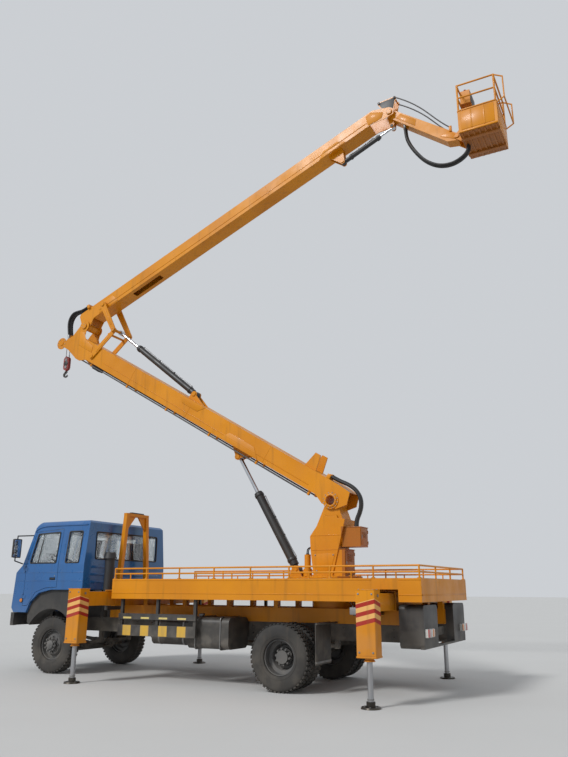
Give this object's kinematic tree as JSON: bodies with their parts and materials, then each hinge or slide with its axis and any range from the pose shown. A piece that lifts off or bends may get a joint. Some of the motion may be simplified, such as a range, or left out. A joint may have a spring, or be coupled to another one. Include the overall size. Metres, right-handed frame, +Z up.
{
  "type": "cherry picker truck",
  "caption": "Two-axle flat-deck truck with outrigger legs and a folding, slewing access boom that carries a work basket and a hook.",
  "frame": {"origin": "on the ground under the middle of the whole truck with its boom as stored", "axes": "+X forwards, +Y to the left, +Z up"},
  "size_m": [10.0103, 3.8198, 10.3253],
  "materials": {
    "amber_paint": "semi-gloss",
    "blue_paint": "gloss",
    "black_paint": "semi-gloss",
    "chassis_paint": "matt",
    "rod_chrome": "polished",
    "tyre_rubber": "matt",
    "rim_paint": "semi-gloss",
    "clear_glass": "clear",
    "black_plastic": "grained",
    "seat_cloth": "woven",
    "lamp_lens": "gloss",
    "cast_grey": "rough",
    "hose_rubber": "matt",
    "red_paint": "semi-gloss",
    "basket_paint": "semi-gloss"
  },
  "bodies": {
    "truck": {"chassis_frame": "chassis_paint", "subframe": "amber_paint", "deck": "amber_paint", "deck_rails": "amber_paint", "boom_rest": "amber_paint", "front_axle": "chassis_paint", "rear_axle": "chassis_paint", "leaf_springs": "chassis_paint", "engine_block": "cast_grey", "side_tanks": "black_paint", "side_guards": "black_paint", "rear_box": "black_paint", "cab_shell": "blue_paint", "cab_glass": "clear_glass", "seats": "seat_cloth", "dashboard": "black_plastic", "bumper": "black_plastic", "mudguards": "black_plastic", "mirrors": "black_plastic", "lamps": "lamp_lens", "air_intake": "black_plastic"},
    "steer_left": {"knuckle_left": "chassis_paint"},
    "steer_right": {"knuckle_right": "chassis_paint"},
    "wheel_front_left": {"tyre_front_left": "tyre_rubber", "rim_front_left": "rim_paint"},
    "wheel_front_right": {"tyre_front_right": "tyre_rubber", "rim_front_right": "rim_paint"},
    "wheel_rear_left": {"tyre_rear_left": "tyre_rubber", "rim_rear_left": "rim_paint"},
    "wheel_rear_right": {"tyre_rear_right": "tyre_rubber", "rim_rear_right": "rim_paint"},
    "door_left_body": {"door_left": "blue_paint", "door_glass_left": "clear_glass"},
    "door_right_body": {"door_right": "blue_paint", "door_glass_right": "clear_glass"},
    "leg_front_left_body": {"leg_front_left": "amber_paint"},
    "leg_front_right_body": {"leg_front_right": "amber_paint"},
    "leg_rear_left_body": {"leg_rear_left": "amber_paint"},
    "leg_rear_right_body": {"leg_rear_right": "amber_paint"},
    "jack_front_left_body": {"jack_front_left": "black_paint"},
    "jack_front_right_body": {"jack_front_right": "black_paint"},
    "jack_rear_left_body": {"jack_rear_left": "black_paint"},
    "jack_rear_right_body": {"jack_rear_right": "black_paint"},
    "turret_body": {"turret": "amber_paint", "column_hose": "hose_rubber"},
    "lower_arm_body": {"lower_arm": "amber_paint", "elbow_hose": "hose_rubber"},
    "luff_barrel_body": {"luff_barrel": "black_paint"},
    "luff_rod_body": {"luff_rod": "rod_chrome"},
    "fold_barrel_body": {"fold_barrel": "black_paint"},
    "fold_rod_body": {"fold_rod": "rod_chrome"},
    "rocker_body": {"elbow_rocker": "amber_paint"},
    "link_body": {"elbow_link": "amber_paint"},
    "upper_arm_body": {"upper_arm": "amber_paint"},
    "jib_barrel_body": {"jib_barrel": "black_paint"},
    "jib_rod_body": {"jib_rod": "rod_chrome"},
    "jib_body": {"jib": "amber_paint", "basket_hose": "hose_rubber"},
    "basket_body": {"basket": "basket_paint"},
    "hook_body": {"hook_block": "red_paint"}
  },
  "joints": [
    {"name": "steer_left", "type": "hinge", "parent": "truck", "child": "steer_left", "pos_m": [3.53, 0.76, 0.48], "axis": [0, 0, 1], "range_deg": [-32, 32]},
    {"name": "steer_right", "type": "hinge", "parent": "truck", "child": "steer_right", "pos_m": [3.53, -0.76, 0.48], "axis": [0, 0, 1], "range_deg": [-32.1, 32.1]},
    {"name": "spin_front_left", "type": "hinge", "parent": "steer_left", "child": "wheel_front_left", "pos_m": [3.53, 0.922, 0.48], "axis": [0, 1, 0], "continuous": true},
    {"name": "spin_rear_left", "type": "hinge", "parent": "truck", "child": "wheel_rear_left", "pos_m": [-1.17, 0.911, 0.48], "axis": [0, 1, 0], "continuous": true},
    {"name": "door_left_hinge", "type": "hinge", "parent": "truck", "child": "door_left_body", "pos_m": [4.23, 1.15, 1.7], "axis": [0, 0, -1], "range_deg": [0, 70]},
    {"name": "leg_front_left_out", "type": "slide", "parent": "truck", "child": "leg_front_left_body", "axis": [0, 1, 0], "range_m": [-0.63, 0]},
    {"name": "jack_front_left_down", "type": "slide", "parent": "leg_front_left_body", "child": "jack_front_left_body", "axis": [0, 0, -1], "range_m": [-0.42, 0]},
    {"name": "leg_rear_left_out", "type": "slide", "parent": "truck", "child": "leg_rear_left_body", "axis": [0, 1, 0], "range_m": [-0.63, 0]},
    {"name": "jack_rear_left_down", "type": "slide", "parent": "leg_rear_left_body", "child": "jack_rear_left_body", "axis": [0, 0, -1], "range_m": [-0.42, 0]},
    {"name": "spin_front_right", "type": "hinge", "parent": "steer_right", "child": "wheel_front_right", "pos_m": [3.53, -0.922, 0.48], "axis": [0, 1, 0], "continuous": true},
    {"name": "spin_rear_right", "type": "hinge", "parent": "truck", "child": "wheel_rear_right", "pos_m": [-1.17, -0.911, 0.48], "axis": [0, 1, 0], "continuous": true},
    {"name": "door_right_hinge", "type": "hinge", "parent": "truck", "child": "door_right_body", "pos_m": [4.23, -1.15, 1.7], "axis": [0, 0, 1], "range_deg": [0, 70]},
    {"name": "leg_front_right_out", "type": "slide", "parent": "truck", "child": "leg_front_right_body", "axis": [0, -1, 0], "range_m": [-0.63, 0]},
    {"name": "jack_front_right_down", "type": "slide", "parent": "leg_front_right_body", "child": "jack_front_right_body", "axis": [0, 0, -1], "range_m": [-0.42, 0]},
    {"name": "leg_rear_right_out", "type": "slide", "parent": "truck", "child": "leg_rear_right_body", "axis": [0, -1, 0], "range_m": [-0.63, 0]},
    {"name": "jack_rear_right_down", "type": "slide", "parent": "leg_rear_right_body", "child": "jack_rear_right_body", "axis": [0, 0, -1], "range_m": [-0.42, 0]},
    {"name": "slew", "type": "hinge", "parent": "truck", "child": "turret_body", "pos_m": [-1.58, 0, 1.615], "axis": [0, 0, 1], "continuous": true},
    {"name": "lower_luff", "type": "hinge", "parent": "turret_body", "child": "lower_arm_body", "pos_m": [-1.62, 0, 2.85], "axis": [0, -1, 0], "range_deg": [-29.8, 41], "deforming": ["column_hose"]},
    {"name": "luff_barrel_turn", "type": "hinge", "parent": "turret_body", "child": "luff_barrel_body", "pos_m": [-0.89, 0, 1.76], "axis": [0, -1, 0], "range_deg": [-21.99, 30.24]},
    {"name": "luff_rod_slide", "type": "slide", "parent": "luff_barrel_body", "child": "luff_rod_body", "axis": [0.5054, 0, 0.8629], "range_m": [-0.5725, 0.7873]},
    {"name": "upper_fold", "type": "hinge", "parent": "lower_arm_body", "child": "upper_arm_body", "pos_m": [4.22238, 0, 6.95261], "axis": [0, 1, 0], "range_deg": [-53, 62], "deforming": ["elbow_hose"]},
    {"name": "rocker_turn", "type": "hinge", "parent": "lower_arm_body", "child": "rocker_body", "pos_m": [3.92485, 0, 6.20349], "axis": [0, 1, 0], "range_deg": [-44.6, 52.16]},
    {"name": "link_turn", "type": "hinge", "parent": "upper_arm_body", "child": "link_body", "pos_m": [3.68774, 0, 7.34353], "axis": [0, 1, 0], "range_deg": [-64.91, 55.5]},
    {"name": "fold_barrel_turn", "type": "hinge", "parent": "lower_arm_body", "child": "fold_barrel_body", "pos_m": [1.3151, 0, 5.07279], "axis": [0, 1, 0], "range_deg": [-2.48, 2.13]},
    {"name": "fold_rod_slide", "type": "slide", "parent": "fold_barrel_body", "child": "fold_rod_body", "axis": [0.7788, 0, 0.6272], "range_m": [-0.5505, 0.6438]},
    {"name": "jib_luff", "type": "hinge", "parent": "upper_arm_body", "child": "jib_body", "pos_m": [-2.91966, 0, 9.9753], "axis": [0, -1, 0], "range_deg": [-53.05, 62.05], "deforming": ["basket_hose"]},
    {"name": "jib_barrel_turn", "type": "hinge", "parent": "upper_arm_body", "child": "jib_barrel_body", "pos_m": [-1.90933, 0, 9.29063], "axis": [0, -1, 0], "range_deg": [-6.59, 5.64]},
    {"name": "jib_rod_slide", "type": "slide", "parent": "jib_barrel_body", "child": "jib_rod_body", "axis": [-0.9172, 0, 0.3985], "range_m": [-0.2011, 0.172]},
    {"name": "basket_level", "type": "hinge", "parent": "jib_body", "child": "basket_body", "pos_m": [-4.11918, 0, 9.07467], "axis": [0, 1, 0], "range_deg": [-29.85, 41.05]},
    {"name": "hook_swing", "type": "hinge", "parent": "lower_arm_body", "child": "hook_body", "pos_m": [4.85847, 0, 6.6492], "axis": [0, 1, 0], "range_deg": [-29.85, 41.05]}
  ],
  "couplings": [
    {"joint": "steer_right", "follows": "steer_left", "ratio": 1},
    {"joint": "luff_barrel_turn", "follows": "lower_luff", "ratio": 0.7363},
    {"joint": "luff_rod_slide", "follows": "lower_luff", "m_per_rad": 1.0988},
    {"joint": "rocker_turn", "follows": "upper_fold", "ratio": 0.84054},
    {"joint": "link_turn", "follows": "upper_fold", "ratio": -1.0462},
    {"joint": "fold_barrel_turn", "follows": "upper_fold", "ratio": -0.03927},
    {"joint": "fold_rod_slide", "follows": "upper_fold", "m_per_rad": 0.59403},
    {"joint": "jib_luff", "follows": "upper_fold", "ratio": 1},
    {"joint": "jib_barrel_turn", "follows": "upper_fold", "ratio": -0.10542},
    {"joint": "jib_rod_slide", "follows": "upper_fold", "m_per_rad": -0.18488},
    {"joint": "basket_level", "follows": "lower_luff", "ratio": 1},
    {"joint": "hook_swing", "follows": "lower_luff", "ratio": 1}
  ]
}
